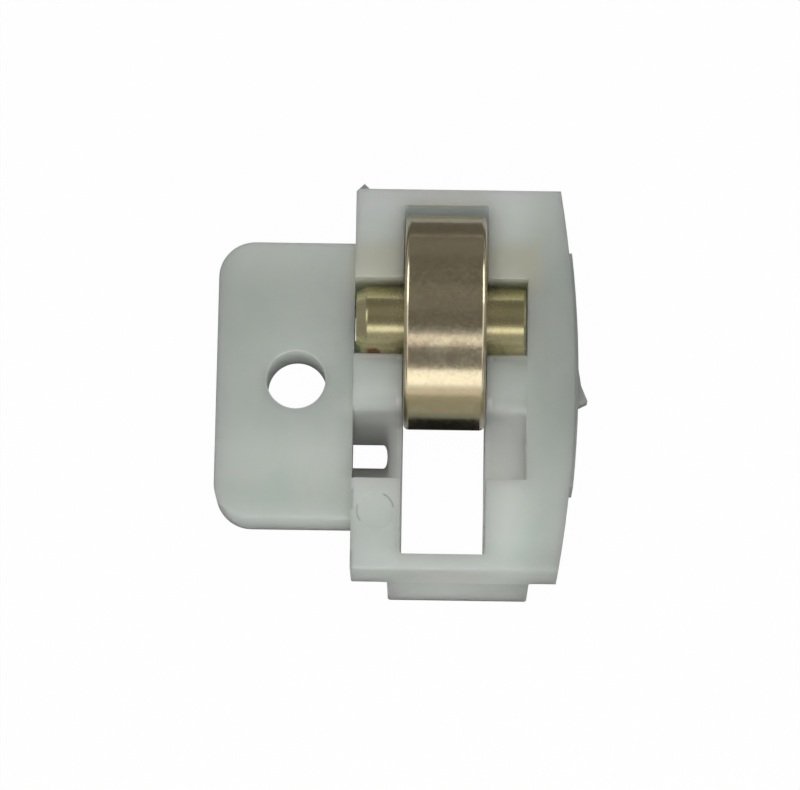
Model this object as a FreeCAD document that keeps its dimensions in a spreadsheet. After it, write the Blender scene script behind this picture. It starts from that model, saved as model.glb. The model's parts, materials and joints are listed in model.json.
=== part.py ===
"""Sash roller: a ball bearing used as a wheel, on a steel pin, in a moulded nylon housing.

Millimetres. The origin is on the screw hole's axis, at the back face of the screw tab. X runs along
the wheel's axle, Y along the track, and +Z points out of the front, where the wheel stands proud.
"""
import FreeCAD, Part
import Sketcher
import math
import os

BALL_COUNT = 7
TOUCH = 1e-4

SIZES = {
    # Wheel, a shielded ball bearing of the quarter-inch bore size, and the pin that carries it
    "wheel_diameter": 19.05,
    "wheel_width": 7.14,
    "wheel_corner": 0.45,
    "axle_diameter": 6.35,
    "axle_end_play": 0.15,
    "axle_tab_play": 0.15,
    "axle_lead_length": 0.95,
    "axle_lead_depth": 0.53,
    "axle_lead_round": 0.6,
    "axle_edge_break": 0.2,
    "bore_clearance": 0.005,
    "ball_diameter": 3.5,
    "ball_play": 0.02,
    "race_depth": 0.7,
    "race_ease": 0.06,
    "ring_edge_break": 0.3,
    "shield_thickness": 0.3,
    "shield_recess": 0.12,
    "shield_lip": 0.45,
    "shield_ledge": 0.35,
    "shield_gap": 0.15,
    "shield_fit": 0.01,
    "cage_wall": 0.4,
    "cage_ball_gap": 0.05,
    "cage_ring_gap": 0.2,
    # Where the wheel sits in the housing
    "wheel_center_x": 13.05,
    "seat_offset": 5.8,
    "seat_clearance": 0.05,
    "seat_slot_width": 2.1,
    "seat_lip": 2.4,
    "seat_length": 3.53,
    "wheel_side_gap": 0.15,
    "wheel_end_gap": 0.35,
    "wheel_back_gap": 2.8,
    "window_draft": 0.15,
    # Housing: front plate with one bowed edge, deep box behind it and screw tab
    "front_height": 6.6,
    "front_round": 0.5,
    "edge_round": 0.25,
    "tab_round": 0.4,
    "root_round": 0.5,
    "end_wall": 1.4,
    "cheek_left": 4.28,
    "cheek_mid": 7.73,
    "cheek_end": 6.33,
    "box_wall_left": 1.11,
    "box_wall_right": 3.98,
    "window_corner": 0.3,
    "rib_length": 21.0,
    "rib_offset": 1.1,
    "rib_proud": 0.3,
    "rib_margin": 0.9,
    "gate_length": 3.6,
    "gate_proud": 0.85,
    "gate_thickness": 1.6,
    "flash_offset": 0.7,
    "flash_proud": 0.55,
    "ejector_diameter": 3.2,
    "ejector_depth": 0.12,
    "ejector_distance": 11.9,
    "tab_margin": 7.0,
    "tab_height": 25.0,
    "tab_step": 1.6,
    "tab_corner": 3.2,
    "screw_hole_diameter": 5.2,
    "cut_margin": 1.0,
}

# Sizes that follow from the ones above, in the order in which they are worked out
DERIVED = {
    "wheel_radius": "wheel_diameter / 2",
    "axle_radius": "axle_diameter / 2",
    "pitch_radius": "(wheel_diameter + axle_diameter) / 4",
    "race_radius": "ball_diameter / 2 + race_ease",
    "race_offset": "ball_diameter / 2 + ball_play",
    "race_half": "sqrt(race_radius ^ 2 - (race_radius - race_depth) ^ 2)",
    "inner_land": "pitch_radius - race_offset + race_depth",
    "outer_land": "pitch_radius + race_offset - race_depth",
    "shield_seat": "outer_land + shield_ledge",
    "shield_face": "wheel_width / 2 - shield_recess",
    "seat_radius": "axle_radius + seat_clearance",
    "axle_height": "sqrt(seat_radius ^ 2 - (seat_slot_width / 2) ^ 2)",
    "window_half_width": "wheel_width / 2 + wheel_side_gap",
    "window_half_length": "seat_offset + wheel_radius + wheel_end_gap",
    "block_half_length": "window_half_length + end_wall",
    "block_left": "wheel_center_x - window_half_width - cheek_left",
    "box_left": "wheel_center_x - window_half_width - box_wall_left",
    "box_right": "wheel_center_x + window_half_width + box_wall_right",
    "box_depth": "wheel_radius - axle_height + wheel_back_gap",
    "plate_mid": "wheel_center_x + window_half_width + cheek_mid",
    "plate_end": "wheel_center_x + window_half_width + cheek_end",
    "bow_rise": "cheek_mid - cheek_end",
    "bow_radius": "(block_half_length ^ 2 + bow_rise ^ 2) / (2 * bow_rise)",
    "bow_center": "plate_mid - bow_radius",
    "rib_outer_radius": "bow_radius + rib_proud",
    "rib_low": "rib_offset - rib_length / 2",
    "rib_high": "rib_offset + rib_length / 2",
    "rib_low_reach": "bow_center + sqrt(rib_outer_radius ^ 2 - rib_low ^ 2)",
    "rib_high_reach": "bow_center + sqrt(rib_outer_radius ^ 2 - rib_high ^ 2)",
    "seat_end": "window_half_width + seat_length",
    "axle_left": "window_half_width + cheek_left - axle_tab_play",
    "axle_right": "seat_end - axle_end_play",
    "axle_lead_slope": "sqrt(axle_lead_length ^ 2 + axle_lead_depth ^ 2)",
    "axle_lead_blend": "axle_lead_round * (axle_lead_slope - axle_lead_length) / axle_lead_depth",
    "tab_thickness": "front_height - tab_step",
    "tab_half": "tab_height / 2",
}

doc = FreeCAD.newDocument("SashRoller")
sheet = doc.addObject("Spreadsheet::Sheet", "Sizes")


def fill_sheet():
    """Writes every driving and derived size to the sheet, one alias to a row."""
    row = 1
    for alias, value in SIZES.items():
        sheet.set(f"A{row}", alias)
        sheet.set(f"B{row}", str(value))
        sheet.setAlias(f"B{row}", alias)
        row += 1
    doc.recompute()
    for alias, formula in DERIVED.items():
        sheet.set(f"A{row}", alias)
        sheet.set(f"B{row}", "=" + formula)
        sheet.setAlias(f"B{row}", alias)
        doc.recompute()
        row += 1


def from_sheet(formula):
    """Puts the sheet's name before each alias in a formula."""
    words = []
    word = ""
    for letter in formula + " ":
        if letter.isalnum() or letter == "_":
            word += letter
            continue
        is_alias = word in SIZES or word in DERIVED
        words.append(f"Sizes.{word}" if is_alias else word)
        words.append(letter)
        word = ""
    return "".join(words).strip()


def number(formula):
    """The present value of a formula in the sheet's aliases."""
    value = sheet.evalExpression(from_sheet(formula))
    return float(getattr(value, "Value", value))


def bind(thing, path, formula):
    thing.setExpression(path, from_sheet(formula))


def new_body(label):
    body = doc.addObject("PartDesign::Body", label)
    body.Label = label
    return body


def on_axle(thing):
    """Places an object with its own origin on the axle, at the middle of the wheel."""
    bind(thing, "Placement.Base.x", "wheel_center_x")
    bind(thing, "Placement.Base.y", "seat_offset")
    bind(thing, "Placement.Base.z", "axle_height")


def new_sketch(body, name, role, offset=None):
    """A sketch on one of the body's origin planes, moved along its normal by an optional formula."""
    plane = next(item for item in body.Origin.OriginFeatures if item.Role == role)
    sketch = body.newObject("Sketcher::SketchObject", name)
    sketch.AttachmentSupport = [(plane, "")]
    sketch.MapMode = "FlatFace"
    if offset:
        bind(sketch, "AttachmentOffset.Base.z", offset)
    return sketch


def pin_point(sketch, name, geometry, position, point):
    """Holds a point of the sketch at two formulas, counted from the sketch's origin."""
    for kind, letter, formula in (("DistanceX", "x", point[0]), ("DistanceY", "y", point[1])):
        index = sketch.addConstraint(Sketcher.Constraint(kind, -1, 1, geometry, position, number(formula)))
        sketch.renameConstraint(index, f"{name}_{letter}")
        bind(sketch, f"Constraints.{name}_{letter}", formula)


def arc_between(start, end, radius, turn):
    """The shorter arc from start to end; turn is 1 for anticlockwise and -1 for clockwise."""
    chord = end - start
    middle = (start + end) * 0.5
    normal = FreeCAD.Vector(-chord.y, chord.x, 0).normalize()
    rise = math.sqrt(max(radius ** 2 - (chord.Length / 2) ** 2, 0.0))
    center = middle + normal * (rise * turn)
    circle = Part.Circle(center, FreeCAD.Vector(0, 0, 1), radius)
    first, last = (start, end) if turn > 0 else (end, start)
    angles = [math.atan2(point.y - center.y, point.x - center.x) for point in (first, last)]
    return Part.ArcOfCircle(circle, angles[0], angles[1])


def outline(sketch, points, arcs=None):
    """Closes the points into an outline of lines.

    Each point is two formulas. arcs maps the number of an edge to its radius formula and turn.
    """
    arcs = arcs or {}
    places = [FreeCAD.Vector(number(x), number(y), 0) for x, y in points]
    base = sketch.GeometryCount
    ends = []
    for edge, start in enumerate(places):
        end = places[(edge + 1) % len(places)]
        if edge in arcs:
            radius, turn = arcs[edge]
            sketch.addGeometry(arc_between(start, end, number(radius), turn))
            ends.append((1, 2) if turn > 0 else (2, 1))
        else:
            sketch.addGeometry(Part.LineSegment(start, end))
            ends.append((1, 2))
    for edge, point in enumerate(points):
        before = (edge - 1) % len(points)
        last = (base + before, ends[before][1])
        first = (base + edge, ends[edge][0])
        sketch.addConstraint(Sketcher.Constraint("Coincident", *last, *first))
        pin_point(sketch, f"point_{base + edge}", base + edge, ends[edge][0], point)
    for edge, (radius, turn) in arcs.items():
        index = sketch.addConstraint(Sketcher.Constraint("Radius", base + edge, number(radius)))
        sketch.renameConstraint(index, f"radius_{base + edge}")
        bind(sketch, f"Constraints.radius_{base + edge}", radius)


def circle(sketch, center, diameter):
    middle = FreeCAD.Vector(number(center[0]), number(center[1]), 0)
    ring = Part.Circle(middle, FreeCAD.Vector(0, 0, 1), number(diameter) / 2)
    index = sketch.addGeometry(ring)
    pin_point(sketch, f"center_{index}", index, 3, center)
    constraint = sketch.addConstraint(Sketcher.Constraint("Diameter", index, number(diameter)))
    sketch.renameConstraint(constraint, f"diameter_{index}")
    bind(sketch, f"Constraints.diameter_{index}", diameter)


def rounded_rectangle(left, right, bottom, top, radius):
    """Points and arcs of a rectangle with four round corners, anticlockwise."""
    points = [
        (f"{left} + {radius}", bottom),
        (f"{right} - {radius}", bottom),
        (right, f"{bottom} + {radius}"),
        (right, f"{top} - {radius}"),
        (f"{right} - {radius}", top),
        (f"{left} + {radius}", top),
        (left, f"{top} - {radius}"),
        (left, f"{bottom} + {radius}"),
    ]
    return points, {edge: (radius, 1) for edge in (1, 3, 5, 7)}


def add_feature(body, kind, name, sketch, length=None, **settings):
    """A pad, pocket or revolution of a sketch, with its length bound to a formula."""
    feature = body.newObject(f"PartDesign::{kind}", name)
    feature.Profile = sketch
    if length:
        bind(feature, "Length", length)
    for key, value in settings.items():
        setattr(feature, key, value)
    doc.recompute()
    return feature


def round_edges(body, name, feature, test, radius):
    """Rounds the feature's edges whose middle passes the test."""
    edges = enumerate(feature.Shape.Edges, start=1)
    fillet = body.newObject("PartDesign::Fillet", name)
    fillet.Base = (feature, [f"Edge{index}" for index, edge in edges if test(edge.CenterOfMass)])
    bind(fillet, "Radius", radius)
    doc.recompute()
    return fillet


def turned(label, points, arcs=None):
    """A body turned about the axle from an outline of (along the axle, radius) formulas."""
    body = new_body(label)
    sketch = new_sketch(body, f"{label}_section", "XY_Plane")
    outline(sketch, points, arcs)
    axle = (sketch, ["H_Axis"])
    add_feature(body, "Revolution", f"{label}_turning", sketch, ReferenceAxis=axle, Angle=360)
    on_axle(body)
    return body


def near(value, formula):
    return abs(value - number(formula)) < TOUCH


def make_housing():
    """One moulding: front plate with one bowed edge, a deep box behind it and a screw tab."""
    body = new_body("housing")

    # Section across the track: deep box, rounded where it leaves the plate, and the plate with a round edge
    section = new_sketch(body, "housing_section", "XZ_Plane")
    outline(
        section,
        [
            ("box_left", "-box_depth"),
            ("box_right", "-box_depth"),
            ("box_right", "0"),
            ("plate_mid", "0"),
            ("plate_mid", "front_height"),
            ("block_left + front_round", "front_height"),
            ("block_left", "front_height - front_round"),
            ("block_left", "0"),
            ("box_left", "0"),
        ],
        {5: ("front_round", 1)},
    )
    plate = add_feature(body, "Pad", "plate", section, "2 * block_half_length", SideType="Symmetric")

    def is_root(middle):
        at_wall = near(middle.x, "box_left") or near(middle.x, "box_right")
        return at_wall and near(middle.z, "0")

    rooted = round_edges(body, "root_edges", plate, is_root, "root_round")

    def is_outer(middle):
        at_end = near(abs(middle.y), "block_half_length")
        at_back = near(middle.z, "-box_depth")
        return at_end or at_back

    round_edges(body, "plate_edges", rooted, is_outer, "edge_round")

    # The plate's free edge is bowed: what lies outside the bow is cut away
    bow = new_sketch(body, "bow_outline", "XY_Plane")
    outline(
        bow,
        [
            ("plate_end", "-block_half_length"),
            ("plate_mid + cut_margin", "-block_half_length"),
            ("plate_mid + cut_margin", "block_half_length"),
            ("plate_end", "block_half_length"),
        ],
        {3: ("bow_radius", -1)},
    )
    add_feature(body, "Pocket", "bow", bow, Type="ThroughAll", SideType="Symmetric")

    # A slim rib along the bowed edge, a little nearer one end
    rib = new_sketch(body, "rib_outline", "XY_Plane", "rib_margin")
    outline(
        rib,
        [
            ("box_right", "rib_low"),
            ("rib_low_reach", "rib_low"),
            ("rib_high_reach", "rib_high"),
            ("box_right", "rib_high"),
        ],
        {1: ("rib_outer_radius", 1)},
    )
    add_feature(body, "Pad", "rib", rib, "front_height - 2 * rib_margin")

    # Moulding gate broken off at the middle of the bowed edge, highest at one end
    gate = new_sketch(body, "gate_outline", "XY_Plane", "(front_height - gate_thickness) / 2")
    outline(
        gate,
        [
            ("box_right", "-gate_length / 2"),
            ("plate_mid + rib_proud", "-gate_length / 2"),
            ("plate_mid + rib_proud + gate_proud", "-gate_length / 2 + gate_proud / 2"),
            ("plate_mid + rib_proud + gate_proud / 3", "0"),
            ("plate_mid + rib_proud", "gate_length / 2"),
            ("box_right", "gate_length / 2"),
        ],
    )
    add_feature(body, "Pad", "gate", gate, "gate_thickness")

    # Window for the wheel, right through the plate and the box, with the mould's draft on its walls
    window = new_sketch(body, "window_outline", "XY_Plane", "front_height")
    points, arcs = rounded_rectangle(
        "wheel_center_x - window_half_width",
        "wheel_center_x + window_half_width",
        "-window_half_length",
        "window_half_length",
        "window_corner",
    )
    outline(window, points, arcs)
    opening = add_feature(body, "Pocket", "window", window, "front_height + box_depth + cut_margin")
    bind(opening, "TaperAngle", "-1 deg * window_draft")
    doc.recompute()

    # Axle seat: a round-bottomed groove open to the front, with a round lip towards the middle
    seat = new_sketch(body, "seat_outline", "YZ_Plane", "wheel_center_x + seat_end")
    outline(
        seat,
        [
            ("seat_offset - seat_radius", "axle_height"),
            ("seat_offset", "axle_height - seat_radius"),
            ("seat_offset + seat_radius", "axle_height"),
            ("seat_offset + seat_radius", "front_height + cut_margin"),
            ("seat_offset - seat_radius - seat_lip", "front_height + cut_margin"),
            ("seat_offset - seat_radius - seat_lip", "front_height"),
            ("seat_offset - seat_radius", "front_height - seat_lip"),
        ],
        {0: ("seat_radius", 1), 1: ("seat_radius", 1), 5: ("seat_lip", -1)},
    )
    groove = add_feature(body, "Pocket", "seat", seat, "wheel_center_x + seat_end - block_left")
    mirrored = body.newObject("PartDesign::Mirrored", "seats")
    mirrored.Originals = [groove]
    middle = next(item for item in body.Origin.OriginFeatures if item.Role == "XZ_Plane")
    mirrored.MirrorPlane = (middle, [""])
    body.Tip = mirrored
    doc.recompute()

    # Screw tab one step behind the front, with two round corners and a rounded front edge
    tab = new_sketch(body, "tab_outline", "XY_Plane")
    outline(
        tab,
        [
            ("block_left", "tab_half"),
            ("tab_corner - tab_margin", "tab_half"),
            ("-tab_margin", "tab_half - tab_corner"),
            ("-tab_margin", "tab_corner - tab_half"),
            ("tab_corner - tab_margin", "-tab_half"),
            ("block_left", "-tab_half"),
        ],
        {1: ("tab_corner", 1), 3: ("tab_corner", 1)},
    )
    tab_pad = add_feature(body, "Pad", "tab", tab, "tab_thickness")

    def is_tab_front(middle):
        return near(middle.z, "tab_thickness") and middle.x < number("block_left") - TOUCH

    round_edges(body, "tab_edges", tab_pad, is_tab_front, "tab_round")
    hole = new_sketch(body, "screw_hole_outline", "XY_Plane")
    circle(hole, ("0", "0"), "screw_hole_diameter")
    add_feature(body, "Pocket", "screw_hole", hole, Type="ThroughAll", SideType="Symmetric")

    # Marks of the mould: a shallow ejector disc on the front, and a thorn of flash at one corner
    ejector = new_sketch(body, "ejector_outline", "XY_Plane", "front_height")
    cheek_middle = "wheel_center_x - window_half_width - cheek_left / 2"
    circle(ejector, (cheek_middle, "-ejector_distance"), "ejector_diameter")
    add_feature(body, "Pocket", "ejector_mark", ejector, "ejector_depth")
    flash = new_sketch(body, "flash_outline", "XY_Plane", "front_height - 2 * flash_proud")
    outline(
        flash,
        [
            ("block_left + flash_offset - flash_proud", "block_half_length"),
            ("block_left + flash_offset + flash_proud", "block_half_length"),
            ("block_left + flash_offset", "block_half_length + flash_proud"),
        ],
    )
    add_feature(body, "Pad", "flash", flash, "flash_proud")
    return body


def make_axle_pin():
    """Plain pin with a long lead, blended in, at the screw tab's end and a broken edge at the other."""
    lead_start = "axle_lead_length - axle_left"
    return turned(
        "axle_pin",
        [
            ("-axle_left", "0"),
            ("axle_right", "0"),
            ("axle_right", "axle_radius - axle_edge_break"),
            ("axle_right - axle_edge_break", "axle_radius"),
            (f"{lead_start} + axle_lead_blend", "axle_radius"),
            (
                f"{lead_start} - axle_lead_blend * axle_lead_length / axle_lead_slope",
                "axle_radius - axle_lead_blend * axle_lead_depth / axle_lead_slope",
            ),
            ("-axle_left", "axle_radius - axle_lead_depth"),
        ],
        {4: ("axle_lead_round", 1)},
    )


def make_inner_ring():
    half = "wheel_width / 2"
    bore = "axle_radius + bore_clearance"
    return turned(
        "bearing_inner_ring",
        [
            (f"-{half}", bore),
            (half, bore),
            (half, "inner_land - ring_edge_break"),
            (f"{half} - ring_edge_break", "inner_land"),
            ("race_half", "inner_land"),
            ("-race_half", "inner_land"),
            (f"ring_edge_break - {half}", "inner_land"),
            (f"-{half}", "inner_land - ring_edge_break"),
        ],
        {4: ("race_radius", -1)},
    )


def make_outer_ring():
    """Ring with the tread outside, the ball race inside and a seat for a shield at each face."""
    half = "wheel_width / 2"
    ledge = "shield_face - shield_lip - shield_fit"
    return turned(
        "bearing_outer_ring",
        [
            (f"wheel_corner - {half}", "wheel_radius"),
            (f"-{half}", "wheel_radius - wheel_corner"),
            (f"-{half}", "shield_seat"),
            (f"-({ledge})", "shield_seat"),
            (f"-({ledge})", "outer_land"),
            ("-race_half", "outer_land"),
            ("race_half", "outer_land"),
            (ledge, "outer_land"),
            (ledge, "shield_seat"),
            (half, "shield_seat"),
            (half, "wheel_radius - wheel_corner"),
            (f"{half} - wheel_corner", "wheel_radius"),
        ],
        {0: ("wheel_corner", 1), 5: ("race_radius", -1), 10: ("wheel_corner", 1)},
    )


def make_shield(label, side):
    """Pressed disc with a lip that seats in the outer ring and an eye that clears the inner ring."""
    rim = "shield_seat - shield_fit"
    back = f"{side} * (shield_face - shield_lip)"
    web = f"{side} * (shield_face - shield_lip + shield_thickness)"
    face = f"{side} * shield_face"
    return turned(
        label,
        [
            (back, "inner_land + shield_gap"),
            (web, "inner_land + shield_gap"),
            (web, f"{rim} - shield_thickness"),
            (face, f"{rim} - shield_thickness"),
            (face, rim),
            (back, rim),
        ],
    )


def on_pitch_circle(thing, place):
    """Places an object at one of the balls' places, counted round the pitch circle."""
    angle = f"360 deg * {place} / {BALL_COUNT}"
    bind(thing, "Placement.Base.x", "wheel_center_x")
    bind(thing, "Placement.Base.y", f"seat_offset + pitch_radius * cos({angle})")
    bind(thing, "Placement.Base.z", f"axle_height + pitch_radius * sin({angle})")


def make_ball(label, place, radius):
    """A sphere whose poles point to and from the axle, where the cage is cut away."""
    ball = doc.addObject("Part::Sphere", label)
    ball.Label = label
    bind(ball, "Radius", radius)
    turn = 360 * place / BALL_COUNT - 90
    ball.Placement.Rotation = FreeCAD.Rotation(FreeCAD.Vector(1, 0, 0), turn)
    on_pitch_circle(ball, place)
    return ball


def make_tube(label, inner, outer, length):
    """A tube about the axle, centred on the wheel."""
    cylinders = []
    for name, radius in (("outside", outer), ("inside", inner)):
        cylinder = doc.addObject("Part::Cylinder", f"{label}_{name}")
        bind(cylinder, "Radius", radius)
        bind(cylinder, "Height", length)
        cylinder.Placement.Rotation = FreeCAD.Rotation(FreeCAD.Vector(0, 1, 0), 90)
        bind(cylinder, "Placement.Base.x", f"wheel_center_x - ({length}) / 2")
        bind(cylinder, "Placement.Base.y", "seat_offset")
        bind(cylinder, "Placement.Base.z", "axle_height")
        cylinders.append(cylinder)
    tube = doc.addObject("Part::Cut", label)
    tube.Base, tube.Tool = cylinders
    return tube


def make_cage():
    """Pressed ribbon cage: a flat ring that swells into a pocket round each ball."""
    inner = "inner_land + cage_ring_gap"
    outer = "outer_land - cage_ring_gap"
    pocket = "ball_diameter / 2 + cage_ball_gap"
    swell = f"{pocket} + cage_wall"
    swells = doc.addObject("Part::MultiFuse", "cage_swells")
    swells.Shapes = [make_ball(f"cage_swell_{i + 1}", i, swell) for i in range(BALL_COUNT)]
    pockets = doc.addObject("Part::MultiFuse", "cage_pockets")
    pockets.Shapes = [make_ball(f"cage_pocket_{i + 1}", i, pocket) for i in range(BALL_COUNT)]
    band = make_tube("cage_band", inner, outer, "wheel_width")
    ring = make_tube("cage_ring", inner, outer, "2 * cage_wall")
    trimmed = doc.addObject("Part::Common", "cage_trimmed")
    trimmed.Base, trimmed.Tool = band, swells
    ribbon = doc.addObject("Part::Fuse", "cage_ribbon")
    ribbon.Base, ribbon.Tool = ring, trimmed
    cage = doc.addObject("Part::Cut", "ball_cage")
    cage.Label = "ball_cage"
    cage.Base, cage.Tool = ribbon, pockets
    return cage


def write_parts(parts):
    """Stops at anything that failed, and otherwise writes each sub-part to its own file."""
    doc.recompute()
    for item in doc.Objects:
        if "Invalid" in item.State or "Error" in item.State:
            raise RuntimeError(f"{item.Label} failed: {item.State}")
    for part in parts:
        if part.Shape.isNull() or not part.Shape.isValid() or len(part.Shape.Solids) != 1:
            raise RuntimeError(f"{part.Label} has no sound solid")
    os.makedirs("parts", exist_ok=True)
    for part in parts:
        part.Shape.exportStep(f"parts/{part.Label}.step")
        box = part.Shape.BoundBox
        print(f"{part.Label}: {part.Shape.Volume:.1f} mm3, X {box.XMin:.2f} to {box.XMax:.2f}, "
              f"Y {box.YMin:.2f} to {box.YMax:.2f}, Z {box.ZMin:.2f} to {box.ZMax:.2f}")


fill_sheet()
sub_parts = [make_housing(), make_axle_pin(), make_inner_ring(), make_outer_ring()]
sub_parts += [make_shield("shield_left", -1), make_shield("shield_right", 1), make_cage()]
sub_parts += [make_ball(f"ball_{i + 1}", i, "ball_diameter / 2") for i in range(BALL_COUNT)]
write_parts(sub_parts)
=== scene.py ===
import json
import math

import bpy
from mathutils import Matrix, Vector


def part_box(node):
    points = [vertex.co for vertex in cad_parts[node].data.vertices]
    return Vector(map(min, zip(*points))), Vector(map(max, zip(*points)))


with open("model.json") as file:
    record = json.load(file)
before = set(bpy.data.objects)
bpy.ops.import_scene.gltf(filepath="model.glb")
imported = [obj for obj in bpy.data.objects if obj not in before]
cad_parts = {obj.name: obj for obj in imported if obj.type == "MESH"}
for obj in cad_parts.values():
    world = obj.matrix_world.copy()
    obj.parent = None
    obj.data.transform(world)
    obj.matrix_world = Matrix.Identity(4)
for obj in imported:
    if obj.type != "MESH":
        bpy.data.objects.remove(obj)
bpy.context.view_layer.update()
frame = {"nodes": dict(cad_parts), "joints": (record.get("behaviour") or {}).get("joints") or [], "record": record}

nodes = frame["nodes"]
scene = bpy.context.scene
MM = 0.001

# Places that the light and the metal refer to, in the frame of the CAD: X across, Y along, Z up
AXLE = Vector(frame["joints"][0]["pos_m"])
FLOOR_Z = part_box("housing")[0][2]
UP = (0, 0, 1)

# Places on the housing that the nylon's soft masks refer to, rounded, in millimetres of the same frame
AXLE_MM = AXLE / MM
FRONT = 6.6
TAB_FRONT = 5.0
BLOCK_LEFT = 5.05
WINDOW_HALF_WIDTH = 3.8
WINDOW_HALF_LENGTH = 15.6
SEATS_MIDDLE = 12.75
SEATS_HALF_LENGTH = 7.5
SEAT_WALL = 3.5
HOLE_RADIUS = 2.6
EJECTOR_MARK = (7.19, -11.9, 0.0)
EJECTOR_RADIUS = 1.6

# Colours of the studio cards, and the metal pieces that some of them are kept for
CREAM = (1.0, 0.97, 0.9, 1.0)
WARM = (1.0, 0.95, 0.85, 1.0)
WHEEL = [nodes[name] for name in ("bearing_outer_ring", "shield_left", "shield_right")]
PIN = [nodes["axle_pin"]]

# The camera's film in millimetres, and the picture that the focal length was fitted to in pixels
FILM_WIDTH = 36.0
PICTURE_WIDTH = 800


class Surface:
    """A node material: nodes are made by type, with their inputs given as values or as sockets."""

    def __init__(self, name):
        self.material = bpy.data.materials.new(name)
        self.material.use_nodes = True
        self.tree = self.material.node_tree
        self.tree.nodes.clear()
        self.output = self.tree.nodes.new("ShaderNodeOutputMaterial")

    def add(self, kind, settings=None, **inputs):
        """A new node; spaces in the names of its inputs are written as underscores."""
        node = self.tree.nodes.new("ShaderNode" + kind)
        for key, value in (settings or {}).items():
            setattr(node, key, value)
        for key, value in inputs.items():
            self.put(node.inputs[key.replace("_", " ")], value)
        return node

    def put(self, socket, value):
        if isinstance(value, bpy.types.NodeSocket):
            self.tree.links.new(value, socket)
        else:
            socket.default_value = value

    def math(self, operation, first, second=0.0, clamp=False):
        node = self.add("Math", {"operation": operation, "use_clamp": clamp})
        self.put(node.inputs[0], first)
        self.put(node.inputs[1], second)
        return node.outputs[0]

    def chain(self, operation, values):
        """One operation over several values in turn."""
        result = values[0]
        for value in values[1:]:
            result = self.math(operation, result, value)
        return result

    def all_of(self, *masks):
        return self.chain("MULTIPLY", masks)

    def any_of(self, *masks):
        return self.chain("MAXIMUM", masks)

    def total(self, *values):
        return self.chain("ADD", values)

    def vector(self, operation, first, second=(0, 0, 0)):
        node = self.add("VectorMath", {"operation": operation})
        self.put(node.inputs[0], first)
        self.put(node.inputs[1], second)
        is_number = operation in ("LENGTH", "DISTANCE", "DOT_PRODUCT")
        return node.outputs["Value" if is_number else "Vector"]

    def place(self):
        return self.add("TexCoord").outputs["Object"]

    def noise(self, vector, scale, detail, roughness, distortion=0.0):
        node = self.add("TexNoise", Vector=vector, Scale=scale, Detail=detail, Roughness=roughness,
                        Distortion=distortion)
        return node.outputs["Fac"]

    def ramp(self, value, low, high, to_low, to_high):
        """A smooth change from one level to another, as the value goes from low to high."""
        node = self.add("MapRange", {"interpolation_type": "SMOOTHSTEP"})
        for index, number in enumerate((value, low, high, to_low, to_high)):
            self.put(node.inputs[index], number)
        return node.outputs[0]

    def rise(self, value, low, high, strength=1.0):
        return self.ramp(value, low, high, 0.0, strength)

    def fade(self, value, low, high, strength=1.0):
        return self.ramp(value, low, high, strength, 0.0)

    def away(self, value, center):
        return self.math("ABSOLUTE", self.math("SUBTRACT", value, center))

    def near(self, value, center, half, soft, strength=1.0):
        """The strength within half of the centre, fading to nothing over the soft length."""
        return self.fade(self.away(value, center), half, half + soft, strength)

    def mix(self, factor, first, second):
        """Two colours mixed; the node keeps its colour inputs at 6 and 7 and their output at 2."""
        node = self.add("Mix", {"data_type": "RGBA"})
        self.put(node.inputs[0], factor)
        self.put(node.inputs[6], first)
        self.put(node.inputs[7], second)
        return node.outputs[2]

    def bump(self, height, strength, distance, normal=None):
        node = self.add("Bump", Strength=strength, Distance=distance, Height=height)
        if normal is not None:
            self.put(node.inputs["Normal"], normal)
        return node.outputs["Normal"]

    def finish(self, shader):
        self.tree.links.new(shader.outputs[0], self.output.inputs["Surface"])
        return self.material


def color(red, green, blue):
    return (red, green, blue, 1.0)


def painted_shade(surface, across, along, up):
    """Painted shade: the share of the nylon's tone that is darkened, standing in for light that sinks into the
    metal and out of thin or deep places.
    """
    # Painted shade near the metal, on the tab and along the bowed right edge
    by_metal = surface.near(along, 3, 4, 11, strength=0.2)
    tab = surface.all_of(surface.fade(across, 3.5, 6), surface.ramp(along, 0, 8, 0.03, 0.1))
    bowed_edge = surface.rise(across, 18, 22, strength=0.19)

    # Painted shade on the window's two end walls, and on the web between the seats
    in_window = surface.near(across, AXLE_MM.x, WINDOW_HALF_WIDTH, 0.3)
    foot_wall = surface.near(along, 0.6 - WINDOW_HALF_LENGTH, 0.6, 0.3)
    foot_depth = surface.fade(up, -10, 3, strength=0.62)
    window_foot = surface.all_of(foot_depth, foot_wall, in_window)
    head_wall = surface.near(along, WINDOW_HALF_LENGTH + 0.1, 0.2, 0.2)
    head_depth = surface.near(up, 4.6, 1.5, 0.4, strength=0.35)
    window_head = surface.all_of(head_depth, head_wall, in_window)
    web_length = surface.near(across, SEATS_MIDDLE, 6, 2)
    web_share = surface.ramp(across, 12, 14, 0.06, 0.12)
    web = surface.all_of(surface.near(along, 0, 2.5, 0.4), web_length, web_share)
    inner = surface.any_of(window_foot, window_head, web)

    # Painted shade on the lower part of the tab, of the block and of the box behind it
    on_tab = surface.all_of(surface.fade(across, BLOCK_LEFT - 0.15, BLOCK_LEFT + 0.05),
                            surface.rise(up, TAB_FRONT - 0.8, TAB_FRONT - 0.2))
    tab_foot = surface.all_of(on_tab, surface.fade(along, -12, -6, strength=0.24))
    corner = surface.all_of(surface.fade(along, -15, -9, strength=0.13), surface.fade(across, 9, 16))
    on_front = surface.rise(up, FRONT - 0.5, FRONT - 0.1)
    front_lip = surface.all_of(on_front, surface.fade(along, -17, -14, strength=0.2))
    box_end = surface.all_of(surface.fade(along, -16.9, -16.6, strength=0.18), surface.fade(up, -0.3, 0.3))
    lower = surface.any_of(tab_foot, corner, surface.total(front_lip, box_end))
    return surface.total(by_metal, inner, tab, bowed_edge, lower)


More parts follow.
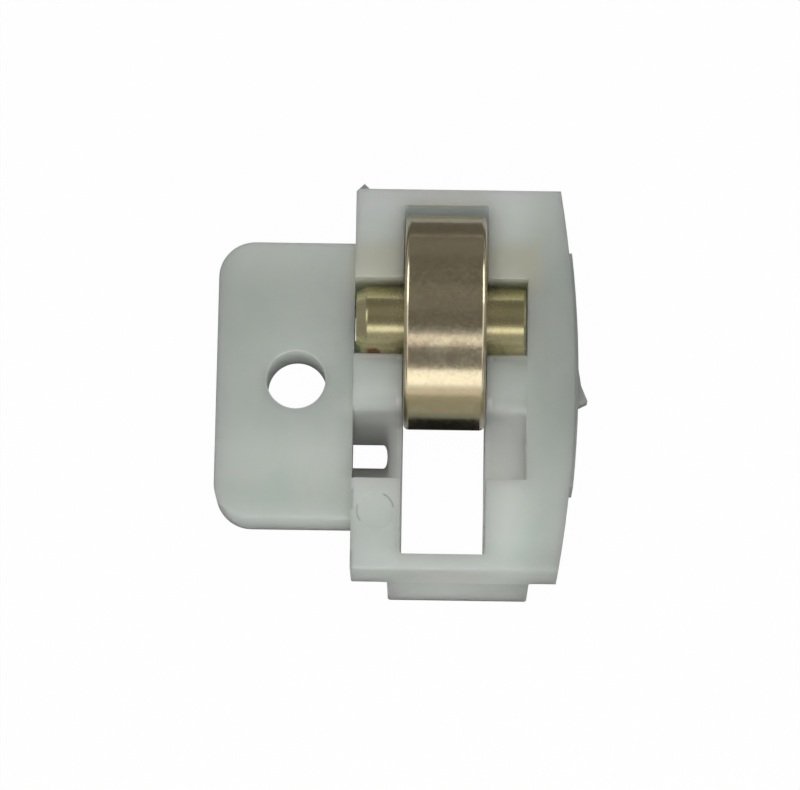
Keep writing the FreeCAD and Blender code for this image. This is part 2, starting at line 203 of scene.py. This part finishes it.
def painted_recess_light(surface, tone, across, along, up, flat):
    """Painted light: the recesses are made paler than their depth would make them, standing in for the light that
    the nylon passes on into them.
    """
    painted_pale = color(0.89, 0.94, 0.89)
    painted_bluish = color(0.80, 0.96, 0.98)
    painted_lip_light = color(0.92, 0.95, 0.88)

    # Painted light in the seats except the wall above the pin, and on the window's long sides
    in_length = surface.near(along, 0, WINDOW_HALF_LENGTH, 0.3)
    in_depth = surface.near(up, 1.2, 3.2, 1.6, strength=surface.ramp(across, 17, 20.5, 0.6, 1.0))
    in_seats = surface.near(across, SEATS_MIDDLE + 0.15, SEATS_HALF_LENGTH + 0.1, 0.2)
    seats = surface.all_of(in_seats, in_length, in_depth)
    above_pin = surface.near(along, AXLE_MM.y + SEAT_WALL, 0.4, 0.3)
    seats = surface.math("SUBTRACT", seats, above_pin, clamp=True)
    on_sides = surface.near(surface.away(across, AXLE_MM.x), WINDOW_HALF_WIDTH, 0.3, 0.2, strength=0.8)
    window_sides = surface.all_of(on_sides, surface.fade(up, FRONT - 0.8, FRONT - 0.3), in_length)
    painted_recess_tone = surface.mix(surface.rise(along, 14.5, 15.4), painted_pale, painted_bluish)
    tone = surface.mix(surface.any_of(seats, window_sides), tone, painted_recess_tone)

    # Painted light on the lip below the pin
    below_pin = surface.all_of(surface.near(along, AXLE_MM.y - SEAT_WALL, 0.4, 0.3, strength=0.8),
                               surface.near(across, SEATS_MIDDLE, SEATS_HALF_LENGTH, 0.2),
                               surface.fade(up, FRONT - 1.4, FRONT - 0.4))
    tone = surface.mix(below_pin, tone, painted_lip_light)
    # Painted light on the wall of the screw hole
    from_hole = surface.vector("LENGTH", flat)
    hole_wall = surface.fade(from_hole, HOLE_RADIUS + 0.02, HOLE_RADIUS + 0.15, strength=0.4)
    return surface.mix(hole_wall, tone, painted_pale)


def painted_shade_and_spots(surface, across, along, up, flat):
    """Painted shade in the vacant seat beside the tab and on two arcs along the edge of the ejector's mark, and
    two darker spots on the block's left edge.
    """
    in_seat = surface.all_of(surface.near(along, -AXLE_MM.y, 2.2, 1.2, strength=0.55),
                             surface.near(across, BLOCK_LEFT + 1.25, 1.3, 1.8),
                             surface.fade(up, FRONT - 3.6, FRONT - 0.6))
    # Painted shadow on two arcs of the ejector mark's edge
    from_mark = surface.vector("SUBTRACT", flat, EJECTOR_MARK)
    heading = surface.vector("NORMALIZE", from_mark)
    to_right = surface.vector("DOT_PRODUCT", heading, (0.8, 0.6, 0.0))
    to_left = surface.vector("DOT_PRODUCT", heading, (-0.98, -0.17, 0.0))
    arcs = surface.any_of(surface.rise(to_right, 0.84, 0.94), surface.rise(to_left, 0.84, 0.94, strength=0.8))
    ring = surface.near(surface.vector("LENGTH", from_mark), EJECTOR_RADIUS, 0.04, 0.08, strength=0.42)
    # Two darker spots on the block's left edge
    two_spots = surface.any_of(surface.near(along, -10.9, 0.7, 0.5), surface.near(along, -16.3, 0.5, 0.7))
    left_edge = surface.near(across, BLOCK_LEFT, 0.14, 0.16, strength=0.35)
    marks = surface.any_of(surface.all_of(ring, arcs), surface.all_of(two_spots, left_edge))
    on_front = surface.all_of(marks, surface.rise(up, FRONT - 0.6, FRONT - 0.3))
    return surface.any_of(in_seat, on_front)


def make_nylon():
    """Natural nylon: cloudy, faintly green, lit from inside, with a fine satin skin, and with painted shade and
    painted light in places.
    """
    surface = Surface("nylon")
    place = surface.place()
    in_millimetres = surface.vector("MULTIPLY", place, (1 / MM, 1 / MM, 1 / MM))
    across, along, up = surface.add("SeparateXYZ", Vector=in_millimetres).outputs
    flat = surface.add("CombineXYZ", X=across, Y=along).outputs[0]

    cloud = surface.noise(place, scale=160, detail=4, roughness=0.6, distortion=0.4)
    fine = surface.noise(place, scale=900, detail=3, roughness=0.6)
    cloudy = surface.rise(cloud, 0.3, 0.7)
    tone = surface.mix(cloudy, color(0.69, 0.77, 0.705), color(0.755, 0.815, 0.74))
    tone = surface.mix(surface.rise(fine, 0.35, 0.75, strength=0.25), tone, color(0.70, 0.775, 0.745))
    # Painted shade: the tone is darkened towards black
    tone = surface.mix(painted_shade(surface, across, along, up), tone, color(0.0, 0.0, 0.0))
    # Painted light makes the recesses paler
    tone = painted_recess_light(surface, tone, across, along, up, flat)

    # Painted reflection: the metal's own colour is painted faintly into the nylon above the pin
    painted_pin_reflection = surface.all_of(surface.near(along, AXLE_MM.y + 4.2, 1.0, 2.4, strength=0.6),
                          surface.near(across, AXLE_MM.x, SEATS_HALF_LENGTH, 1.5))
    tone = surface.mix(painted_pin_reflection, tone, color(0.52, 0.50, 0.37))
    # Painted shade, and the two darker spots, mixed towards near black
    tone = surface.mix(painted_shade_and_spots(surface, across, along, up, flat), tone, color(0.12, 0.12, 0.11))

    edges = surface.add("Bevel", {"samples": 6}, Radius=0.12 * MM).outputs[0]
    waves = surface.noise(place, scale=220, detail=2, roughness=0.5)
    skin = surface.noise(place, scale=3200, detail=2, roughness=0.5)
    normal = surface.bump(waves, strength=0.25, distance=0.25 * MM, normal=edges)
    normal = surface.bump(skin, strength=0.18, distance=0.03 * MM, normal=normal)
    roughness = surface.ramp(fine, 0.25, 0.75, 0.42, 0.55)
    shader = surface.add("BsdfPrincipled", {"subsurface_method": "RANDOM_WALK"}, Base_Color=tone,
                         Roughness=roughness, IOR=1.53, Normal=normal, Subsurface_Weight=1.0,
                         Subsurface_Radius=(1.0, 1.05, 1.0), Subsurface_Scale=10.0 * MM)
    return surface.finish(shader)


def about_axle(surface):
    """Length along the axle, radius and angle about it, for turned pieces."""
    offset = surface.vector("SUBTRACT", surface.place(), tuple(AXLE))
    length, along, up = surface.add("SeparateXYZ", Vector=offset).outputs
    flat = surface.add("CombineXYZ", Y=along, Z=up).outputs[0]
    radius = surface.vector("LENGTH", flat)
    angle = surface.math("ARCTAN2", along, up)
    return length, radius, angle


def make_turned_steel(name, tones, roughness, line_scale, line_strength, grain, stain=None, reflection_and_dark_bands=()):
    """Metal turned or ground about the axle, with fine lines round it and a patchy tint.

    A tinted band has its angle from straight up, counted towards +Y, its half width, tone and share.
    A stain has its place, size and tone.
    """
    surface = Surface(name)
    length, radius, angle = about_axle(surface)
    place = surface.place()

    # The pattern hardly changes with the angle, which draws it out into lines round the axle
    slow_angle = surface.math("MULTIPLY", angle, 0.0004)
    lines_at = surface.add("CombineXYZ", X=length, Y=radius, Z=slow_angle).outputs[0]
    lines = surface.noise(lines_at, scale=line_scale, detail=4, roughness=0.7)
    patches = surface.noise(place, scale=420, detail=4, roughness=0.65, distortion=0.6)
    specks = surface.noise(place, scale=2600, detail=3, roughness=0.7)

    tone = surface.mix(surface.rise(patches, 0.32, 0.68), tones[0], tones[1])
    tone = surface.mix(surface.rise(specks, 0.56, 0.72, strength=grain), tone, tones[2])
    # Bands at set angles that turn with the piece: the pin's bright band and the bearing's straw band are painted
    # reflection, and the bearing's other band is only darker
    band_soft = math.radians(8)
    for center, half, band_tone, share in reflection_and_dark_bands:
        band = surface.near(angle, math.radians(center), math.radians(half), band_soft, strength=share)
        tone = surface.mix(surface.all_of(band, surface.rise(patches, 0.3, 0.55)), tone, band_tone)
    if stain:
        where, size, stain_tone = stain
        wander = surface.math("MULTIPLY", surface.math("SUBTRACT", patches, 0.5), size)
        distance = surface.total(surface.vector("DISTANCE", place, where), wander)
        tone = surface.mix(surface.fade(distance, 0.45 * size, size, strength=0.85), tone, stain_tone)

    normal = surface.bump(lines, strength=line_strength, distance=0.01 * MM)
    normal = surface.bump(specks, strength=grain, distance=0.01 * MM, normal=normal)
    smooth, rough = roughness
    shader = surface.add("BsdfPrincipled", Base_Color=tone, Metallic=1.0, Normal=normal,
                         Roughness=surface.ramp(specks, 0.3, 0.7, smooth, rough))
    return surface.finish(shader)


def make_plated_steel():
    """The pin: yellowish plating with a band of painted reflection brightening its lower side, and one red-brown
    stain.
    """
    return make_turned_steel(
        "plated_steel",
        tones=(color(0.65, 0.60, 0.34), color(0.69, 0.62, 0.38), color(0.58, 0.58, 0.42)),
        roughness=(0.22, 0.28), line_scale=5200, line_strength=0.08, grain=0.03,
        stain=((6.8 * MM, 2.82 * MM, 4.1 * MM), 0.8 * MM, color(0.42, 0.14, 0.09)),
        # Painted reflection: a bright band along the pin's lower side
        reflection_and_dark_bands=[(-72, 11, color(0.93, 0.85, 0.52), 1.0)])


def make_bearing_steel():
    """Rings and balls: ground steel with a warm tarnish, one darker band, and one darker straw-tinted band of
    painted reflection.
    """
    return make_turned_steel(
        "bearing_steel",
        tones=(color(0.60, 0.535, 0.38), color(0.65, 0.58, 0.425), color(0.52, 0.47, 0.36)),
        roughness=(0.13, 0.24), line_scale=6400, line_strength=0.22, grain=0.35,
        # A darker band, and a straw-tinted band of painted reflection
        reflection_and_dark_bands=[(-29, 4, color(0.40, 0.31, 0.21), 0.6), (-62, 7, color(0.52, 0.40, 0.22), 0.7)])


def make_pressed_steel():
    """Shields and cage: duller grey sheet."""
    return make_turned_steel(
        "pressed_steel",
        tones=(color(0.50, 0.48, 0.43), color(0.56, 0.53, 0.48), color(0.42, 0.40, 0.37)),
        roughness=(0.26, 0.4), line_scale=4200, line_strength=0.2, grain=0.1)


def make_floor_white():
    """White where it is seen or mirrored, with a faint shadow, and dark to light that is scattered."""
    surface = Surface("floor_white")
    path = surface.add("LightPath").outputs
    seen = surface.math("ADD", path["Is Camera Ray"], path["Is Glossy Ray"])
    seen = surface.math("ADD", seen, path["Is Transmission Ray"], clamp=True)
    tone = surface.mix(path["Is Diffuse Ray"], color(0.9, 0.9, 0.9), color(0.16, 0.16, 0.15))
    paper = surface.add("BsdfDiffuse", Color=tone)
    white = surface.add("Emission", Color=color(1, 1, 1), Strength=1.0)
    mixed = surface.add("MixShader", Fac=surface.math("MULTIPLY", seen, 0.98))
    surface.put(mixed.inputs[1], paper.outputs[0])
    surface.put(mixed.inputs[2], white.outputs[0])
    return surface.finish(mixed)


def make_glow(name, tone, strength, clear):
    """An even glow; a clear one adds to what is seen through it."""
    surface = Surface(name)
    glow = surface.add("Emission", Color=tone, Strength=strength)
    if not clear:
        return surface.finish(glow)
    summed = surface.add("AddShader")
    surface.put(summed.inputs[0], glow.outputs[0])
    surface.put(summed.inputs[1], surface.add("BsdfTransparent").outputs[0])
    return surface.finish(summed)


def panel(name, center, normal, width, height, material):
    """A flat four-sided panel, width along X as far as the normal allows."""
    normal = Vector(normal).normalized()
    side = (Vector((1, 0, 0)) - normal * normal.x).normalized()
    rise = normal.cross(side)
    corners = [center + side * (across * width / 2) + rise * (along * height / 2)
               for across, along in ((-1, -1), (1, -1), (1, 1), (-1, 1))]
    mesh = bpy.data.meshes.new(name)
    mesh.from_pydata(corners, [], [(0, 1, 2, 3)])
    mesh.materials.append(material)
    obj = bpy.data.objects.new(name, mesh)
    scene.collection.objects.link(obj)
    return obj


def lay_floor():
    """A wide floor, a hair under the box so that the two don't share a plane."""
    center = Vector((9 * MM, 0, FLOOR_Z - 0.01 * MM))
    panel("floor", center, UP, 3.0, 3.0, make_floor_white())


def card(name, center, normal, width, height, tone, strength, pieces=()):
    """A studio card that only shows in reflections and lights nothing else.

    One for chosen pieces is clear and adds its glow to what they mirror. One for all of them hides
    what stands behind it.
    """
    glow = make_glow(name, tone, strength, clear=bool(pieces))
    obj = panel(name, center, normal, width, height, glow)
    obj.visible_camera = False
    obj.visible_diffuse = False
    obj.visible_transmission = False
    obj.visible_volume_scatter = False
    obj.visible_shadow = False
    if pieces:
        group = bpy.data.collections.new(name + "_pieces")
        for piece in pieces:
            group.objects.link(piece)
        obj.light_linking.receiver_collection = group


def card_between(name, start, end, tone, strength, pieces=(), distance=0.24, width=0.26):
    """A card that spans two angles from straight up as seen from the axle, counted towards -Y."""
    middle = math.radians((start + end) / 2)
    half = math.radians((end - start) / 2)
    direction = Vector((0, -math.sin(middle), math.cos(middle)))
    height = 2 * distance * math.tan(half)
    card(name, AXLE + direction * distance, -direction, width, height, tone, strength, pieces)


def make_cards():
    """What the wheel and the pin mirror: a dim room overhead, bright strips in front and dark below."""
    card_between("card_dark_top", -106, 20, WARM, 0.165, distance=0.3, width=0.5)
    card_between("card_wheel_far", -85, -61, WARM, 0.045, WHEEL)
    card_between("card_wheel_top", -27, 2, WARM, 0.05, WHEEL)
    card_between("card_wheel_near", 26, 37.5, CREAM, 1.1, WHEEL)
    card_between("card_wheel_low", 64, 82.5, CREAM, 0.65, WHEEL)
    card_between("card_wheel_foot", 64, 88, CREAM, 0.75, WHEEL, distance=0.25)
    card_between("card_pin_top", -36, -5, CREAM, 0.06, PIN)
    card_between("card_pin_near", 28, 45, CREAM, 1.1, PIN)
    card_between("card_pin_low", 48, 84, CREAM, 0.08, PIN)

    # The slanted end of the pin, and the rounded rims of the wheel
    pin_lead_at = AXLE + Vector((-0.127, 0.03, 0.2))
    card("card_pin_lead", pin_lead_at, (0.53, 0, -0.85), 0.1, 0.14, CREAM, 0.9, PIN)
    for name, side in (("left", -1), ("right", 1)):
        facing = (-side * 0.64, 0, -0.77)
        short_at = AXLE + Vector((side * 0.118, 0.104, 0.141))
        long_at = AXLE + Vector((side * 0.128, 0, 0.153))
        card("card_" + name, short_at, facing, 0.12, 0.152, CREAM, 1.8, WHEEL)
        card("card_long_" + name, long_at, facing, 0.13, 0.5, CREAM, 0.7, WHEEL)

    # Metal shows a dim table behind the part and the dark under the window, not the white floor
    table_at = Vector((AXLE.x, 0.15, FLOOR_Z + 0.2 * MM))
    below_at = Vector((AXLE.x, 0, FLOOR_Z + 0.3 * MM))
    card("card_table", table_at, UP, 0.3, 0.4, WARM, 0.14)
    card("card_below", below_at, UP, 8.5 * MM, 32 * MM, WARM, 0.012)


def area_light(name, location, target, size, watts):
    """A round soft lamp that polished metal doesn't mirror; the cards stand in for it there."""
    light = bpy.data.lights.new(name, "AREA")
    light.shape = "DISK"
    light.size = size
    light.energy = watts
    obj = bpy.data.objects.new(name, light)
    obj.location = location
    obj.rotation_euler = (Vector(location) - Vector(target)).to_track_quat("Z", "Y").to_euler()
    obj.visible_glossy = False
    scene.collection.objects.link(obj)
    return obj


def make_lamps():
    """A small key overhead, soft fills in front and behind, and a lamp for the paper below."""
    middle = (0.012, 0, 0)
    area_light("key", (0.012, -0.022, 0.14), (0.012, -0.018, 0), size=0.05, watts=0.062)
    area_light("fill", (0.01, -0.4, 0.3), middle, size=0.25, watts=0.45)
    area_light("low_fill", (0.01, -0.5, 0.08), middle, size=0.25, watts=0.7)
    area_light("back_fill", (0.01, 0.5, 0.12), middle, size=0.25, watts=0.45)

    # White paper under the open end of the window throws light up its walls
    paper_y = -0.009
    paper_at = (AXLE.x, paper_y, FLOOR_Z + 0.5 * MM)
    paper = area_light("paper", paper_at, (AXLE.x, paper_y, 0.1), size=7 * MM, watts=0.00025)
    paper.visible_camera = False


def make_world():
    """An even dim room, white to the camera."""
    world = bpy.data.worlds.new("studio")
    world.use_nodes = True
    scene.world = world
    tree = world.node_tree
    background = tree.nodes["Background"]
    background.inputs["Color"].default_value = color(1, 1, 1)
    path = tree.nodes.new("ShaderNodeLightPath")
    level = tree.nodes.new("ShaderNodeMapRange")
    level.inputs["To Min"].default_value = 0.26
    level.inputs["To Max"].default_value = 1.0
    tree.links.new(path.outputs["Is Camera Ray"], level.inputs["Value"])
    tree.links.new(level.outputs[0], background.inputs["Strength"])


def make_camera(target, azimuth, elevation, roll, distance, focal_pixels, shift_right, shift_up):
    """Looks down at the part; the angles and distance are those fitted to the photo's edges."""
    azimuth, elevation, roll = (math.radians(angle) for angle in (azimuth, elevation, roll))
    level = math.cos(elevation)
    back = Vector((math.sin(azimuth) * level, -math.cos(azimuth) * level, math.sin(elevation)))
    level_right = Vector((0, 1, 0)).cross(back).normalized()
    level_up = back.cross(level_right)
    right = level_right * math.cos(roll) + level_up * math.sin(roll)
    up = level_up * math.cos(roll) - level_right * math.sin(roll)
    camera = bpy.data.cameras.new("camera")
    camera.sensor_width = FILM_WIDTH
    camera.lens = focal_pixels * FILM_WIDTH / PICTURE_WIDTH
    camera.clip_start = 0.01
    obj = bpy.data.objects.new("camera", camera)
    place = Vector(target) + right * shift_right + up * shift_up + back * distance
    turned = Matrix((right, up, back)).transposed().to_4x4()
    obj.matrix_world = Matrix.Translation(place) @ turned
    scene.collection.objects.link(obj)
    scene.camera = obj


materials = {
    "nylon": make_nylon(),
    "plated_steel": make_plated_steel(),
    "bearing_steel": make_bearing_steel(),
    "pressed_steel": make_pressed_steel(),
}
for subpart in frame["record"]["subparts"]:
    node = nodes[subpart["node"]]
    node.data.materials.clear()
    node.data.materials.append(materials[subpart["material_slot"]])

lay_floor()
make_world()
make_lamps()
make_cards()
make_camera((8 * MM, 0, 0), azimuth=2.35, elevation=77.22, roll=0.94, distance=0.34792,
            focal_pixels=3906.4, shift_right=1.12 * MM, shift_up=-0.15 * MM)
scene.view_settings.view_transform = "Standard"
